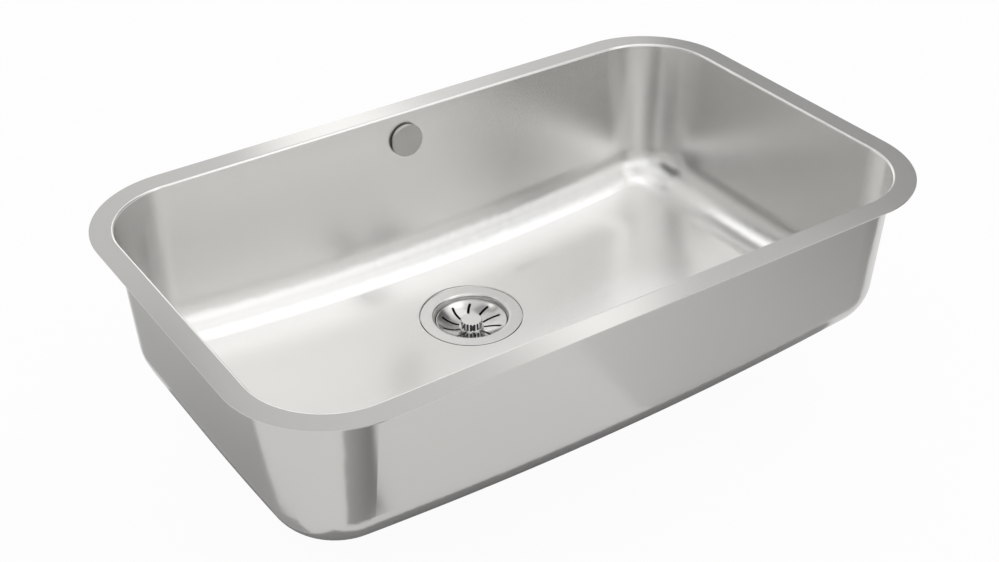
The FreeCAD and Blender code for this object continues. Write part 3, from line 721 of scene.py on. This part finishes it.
@dataclass(frozen=True)
class Softbox:
    """Rectangular lamp on the dome that faces the origin.

    The place is in degrees, as in aimed(), and the sizes in metres. The level is the glow
    that a mirror would show, where 1 is white.
    """

    name: str
    azimuth: float
    elevation: float
    width: float
    height: float
    level: float
    distance: float = 2.5
    roll: float = 0.0

    def build(self) -> None:
        """Add the lamp."""
        data = bpy.data.lights.new(self.name, "AREA")
        data.shape = "RECTANGLE"
        data.size, data.size_y = self.width, self.height
        data.energy = math.pi * self.level * self.width * self.height
        lamp = bpy.data.objects.new(self.name, data)
        lamp.matrix_world = aimed(self.azimuth, self.elevation, self.distance, self.roll)
        lamp.visible_camera = False
        bpy.context.scene.collection.objects.link(lamp)


@dataclass(frozen=True)
class Card:
    """Matt card, graded along X, that the metal reflects and that no view shows.

    Sizes are in metres, and greys are its tones at -X and +X. The taper is the share of the
    width that is left at +Y.
    """

    name: str
    width: float
    height: float
    greys: tuple[float, float]
    placing: Matrix
    taper: float = 1.0

    def build(self) -> None:
        """Add the card."""
        x, y, end = self.width / 2, self.height / 2, self.width / 2 * self.taper
        data = bpy.data.meshes.new(self.name)
        data.from_pydata([(-x, -y, 0), (x, -y, 0), (end, y, 0), (-end, y, 0)], [], [(0, 1, 2, 3)])
        bench = Bench(self.name)
        side = bench.add("ShaderNodeSeparateXYZ")
        bench.feed(side.inputs[0], bench.place())
        share = bench.math("ADD", bench.math("DIVIDE", side.outputs["X"], self.width), 0.5)
        matt = bench.add("ShaderNodeBsdfDiffuse")
        bench.feed(matt.inputs["Color"], bench.between(share, *self.greys))
        output = bench.add("ShaderNodeOutputMaterial")
        bench.feed(output.inputs["Surface"], matt.outputs[0])
        data.materials.append(bench.material)
        card = bpy.data.objects.new(self.name, data)
        card.matrix_world = self.placing
        card.visible_camera = False
        card.visible_shadow = False
        card.visible_diffuse = False
        bpy.context.scene.collection.objects.link(card)
        card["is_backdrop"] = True


@dataclass
class Studio:
    """White background, a pale floor, soft lamps and grey cards."""

    floor_size: float = 14.0
    floor_tone: float = 0.85
    floor_glow: float = 0.4
    floor_white: float = 0.95
    floor_z: float = 0.0
    sky: float = 0.74
    lamps: list[Softbox] = field(default_factory=lambda: [
        Softbox("rear_low", 22, 11, 0.96, 0.96, 0.7),
        Softbox("rear_right_high", 60, 57, 1.2, 0.9, 0.35),
        Softbox("right_high", 106, 66, 1.2, 1.0, 0.7),
        Softbox("rear_left", 336, 33, 0.96, 0.96, 0.35),
        Softbox("left_high", 330, 50, 0.9, 0.9, 0.65),
        Softbox("front_right", 156, 24, 0.8, 1.5, 0.65),
        Softbox("front_high", 145, 50, 0.7, 0.7, 0.6),
        Softbox("front_low", 192, 33, 1.9, 0.96, 0.4),
        Softbox("left_top", 225, 55, 2.0, 1.0, 0.2),
        Softbox("slanted_strip", 31, 32, 1.15, 0.3, 0.75, roll=-35),
        Softbox("overhead", 180, 80, 1.2, 1.2, 0.3)])

    def cards(self) -> list[Card]:
        """Cards on the dome and on the floor.

        Returns:
            The cards, not yet built.
        """
        level = self.floor_z + 0.2 * MM
        return [
            Card("right_card", 2.3, 0.95, (0.15, 0.15), aimed(92, 33, 2.4)),
            Card("left_card", 3.0, 0.95, (0.1, 0.1), aimed(284, 33, 2.4)),
            Card("rear_top_card", 0.7, 1.5, (0.45, 0.45), aimed(0, 54, 2.4)),
            Card("low_card", 0.85, 1.35, (0.55, 0.55), aimed(54.5, 15, 2.4)),
            Card("corner_strip", 0.26, 0.28, (0.6, 0.2),
                 Matrix.Translation((-0.29, -0.44, level))
                 @ Matrix.Rotation(math.radians(-7), 4, "Z"), taper=0.5),
            Card("floor_right", 0.9, 0.26, (0.9, 0.05),
                 Matrix.Translation((0.55, -0.37, level))),
            Card("floor_left", 0.1, 0.65, (0.6, 0.6),
                 Matrix.Translation((-0.42, 0.175, level))),
            # Grey card under the sink, seen only in the metal. The reflected floor below the bowl
            # shows the sink's shadow that the card really receives, deepened by painted shadow in
            # its grey tone.
            Card("floor_under_painted_shadow", 0.73, 0.47, (0.45, 0.45),
                 Matrix.Translation((0.0, 0.0, level)))]

    def world(self) -> None:
        """Sky that is white where it shows, and a little lower as a light."""
        world = bpy.data.worlds.new("studio")
        bpy.context.scene.world = world
        world.use_nodes = True
        tree = world.node_tree
        tree.nodes.clear()
        rays = tree.nodes.new("ShaderNodeLightPath")
        shown = tree.nodes.new("ShaderNodeMath")
        shown.operation = "MAXIMUM"
        tree.links.new(rays.outputs["Is Camera Ray"], shown.inputs[0])
        tree.links.new(rays.outputs["Is Transmission Ray"], shown.inputs[1])
        strength = tree.nodes.new("ShaderNodeMapRange")
        strength.inputs["To Min"].default_value = self.sky
        tree.links.new(shown.outputs[0], strength.inputs["Value"])
        glow = tree.nodes.new("ShaderNodeBackground")
        glow.inputs["Color"].default_value = (1.0, 1.0, 1.0, 1.0)
        tree.links.new(strength.outputs[0], glow.inputs["Strength"])
        output = tree.nodes.new("ShaderNodeOutputWorld")
        tree.links.new(glow.outputs[0], output.inputs["Surface"])

    def floor(self) -> None:
        """Pale floor at the lowest piece, white where the background shows."""
        half = self.floor_size / 2
        corners = [Vector((x * half, y * half, self.floor_z))
                   for x, y in ((-1, -1), (1, -1), (1, 1), (-1, 1))]
        data = bpy.data.meshes.new("floor")
        data.from_pydata(corners, [], [(0, 1, 2, 3)])
        bench = Bench("pale_floor")
        rays = bench.add("ShaderNodeLightPath")
        matt = bench.add("ShaderNodeBsdfDiffuse")
        matt.inputs["Color"].default_value = (*[self.floor_tone] * 3, 1.0)
        white = bench.add("ShaderNodeEmission")
        mix = bench.add("ShaderNodeMixShader")
        gloss = bench.math("MAXIMUM", rays.outputs["Is Glossy Ray"],
                           rays.outputs["Is Transmission Ray"])
        shown = bench.math("MULTIPLY", rays.outputs["Is Camera Ray"], self.floor_white)
        bench.feed(mix.inputs[0],
                   bench.math("MAXIMUM", shown, bench.math("MULTIPLY", gloss, self.floor_glow)))
        bench.feed(mix.inputs[1], matt.outputs[0])
        bench.feed(mix.inputs[2], white.outputs[0])
        output = bench.add("ShaderNodeOutputMaterial")
        bench.feed(output.inputs["Surface"], mix.outputs[0])
        data.materials.append(bench.material)
        floor = bpy.data.objects.new("floor", data)
        bpy.context.scene.collection.objects.link(floor)
        floor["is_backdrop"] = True

    def build(self) -> None:
        """Set the colour view, the sky, the floor, the lamps and the cards."""
        bpy.context.scene.view_settings.view_transform = "Standard"
        self.floor_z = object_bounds()[0][2]
        self.world()
        self.floor()
        for piece in (*self.lamps, *self.cards()):
            piece.build()
        LOG.info("studio with %d lamps", len(self.lamps))


@dataclass
class PhotoCamera:
    """Camera at the photograph's viewpoint, aimed at the frame's origin.

    Its image has the given size in pixels, and the origin shows at the given centre.
    """

    azimuth: float = math.radians(-34.61)
    elevation: float = math.radians(30.47)
    distance: float = 1.6065
    lens: float = 57.465
    sensor: float = 36.0
    image: tuple[int, int] = (999, 562)
    centre: tuple[float, float] = (513.98, 193.73)

    def build(self) -> bpy.types.Object:
        """Add the camera and make it the scene's.

        Returns:
            The camera.
        """
        data = bpy.data.cameras.new("photo_camera")
        data.sensor_width = self.sensor
        data.lens = self.lens
        width, height = self.image
        data.shift_x = (width / 2 - self.centre[0]) / width
        data.shift_y = (self.centre[1] - height / 2) / width
        camera = bpy.data.objects.new("photo_camera", data)
        level = math.cos(self.elevation)
        back = Vector((math.sin(self.azimuth) * level, -math.cos(self.azimuth) * level,
                       math.sin(self.elevation)))
        camera.matrix_world = (Matrix.Translation(back * self.distance)
                               @ (-back).to_track_quat("-Z", "Y").to_matrix().to_4x4())
        bpy.context.scene.collection.objects.link(camera)
        bpy.context.scene.camera = camera
        LOG.info("camera at %s", tuple(round(v, 4) for v in camera.location))
        return camera


# ---- Making -------------------------------------------------------------------------
def main() -> None:
    """Load the frame, dress it and set the studio."""
    logging.basicConfig(level=logging.INFO, format="%(name)s: %(message)s")
    for left_over in list(bpy.data.objects):
        bpy.data.objects.remove(left_over)
    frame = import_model()
    PhotoCamera().build()
    nodes = frame["nodes"]
    axes = {joint["name"]: tuple(joint["axis"]) for joint in frame["joints"]}
    Bowl(nodes).build()
    Waste(nodes).build()
    Overflow(nodes, axes["cover_pull_off"]).build()
    Studio().build()


if __name__ == "__main__":
    main()
